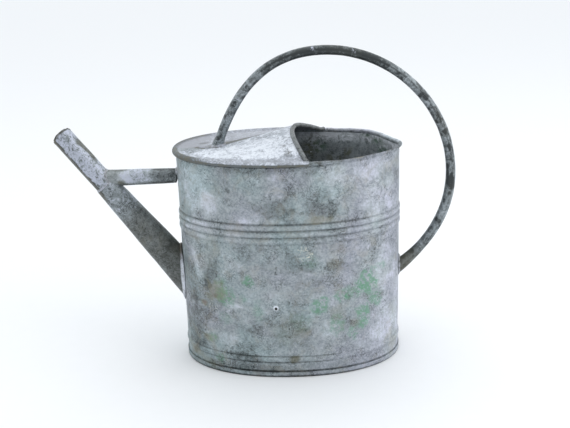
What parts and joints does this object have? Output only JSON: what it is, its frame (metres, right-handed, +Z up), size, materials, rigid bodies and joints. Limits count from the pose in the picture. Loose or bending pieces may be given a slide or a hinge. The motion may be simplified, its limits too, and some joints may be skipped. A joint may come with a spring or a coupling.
{
  "type": "watering can",
  "caption": "Oval hand-made watering can of weathered galvanised sheet: ribbed body, ridged half cover, tube handle over the top, straight soldered spout with a brace.",
  "frame": {"origin": "under the middle of the overall box, on the surface that the can stands on", "axes": "+Z up; -X from the body towards the spout, +X towards the handle's back; -Y is the side that the picture shows"},
  "size_m": [0.4842, 0.1806, 0.3855],
  "materials": {
    "body_zinc": "galvanised sheet, oxidised to a mottled blue-grey, matt, with dark stains and traces of green paint",
    "frosted_zinc": "galvanised sheet with a frosty white bloom, matt",
    "handle_zinc": "galvanised tube, dark and pitted, worn lighter where the hand holds it",
    "dark_zinc": "galvanised sheet, dark grey, dull",
    "pale_zinc": "galvanised sheet with a pale lilac-white patina and dark streaks",
    "solder": "soft solder, dull grey, lumpy",
    "wire": "plain steel wire, brown with age"
  },
  "bodies": {
    "root": {"body_wall": "body_zinc", "bottom_pan": "body_zinc", "rim_wire": "wire", "hood": "frosted_zinc", "mouth_wire": "wire", "handle_tube": "handle_zinc", "spout_cone": "dark_zinc", "spout_tip": "pale_zinc", "brace_tube": "dark_zinc", "solder_spout_root": "solder", "solder_spout_joint": "solder", "solder_brace_spout": "solder", "solder_brace_body": "solder", "solder_handle_front": "solder", "solder_handle_rear": "solder"}
  },
  "joints": []
}
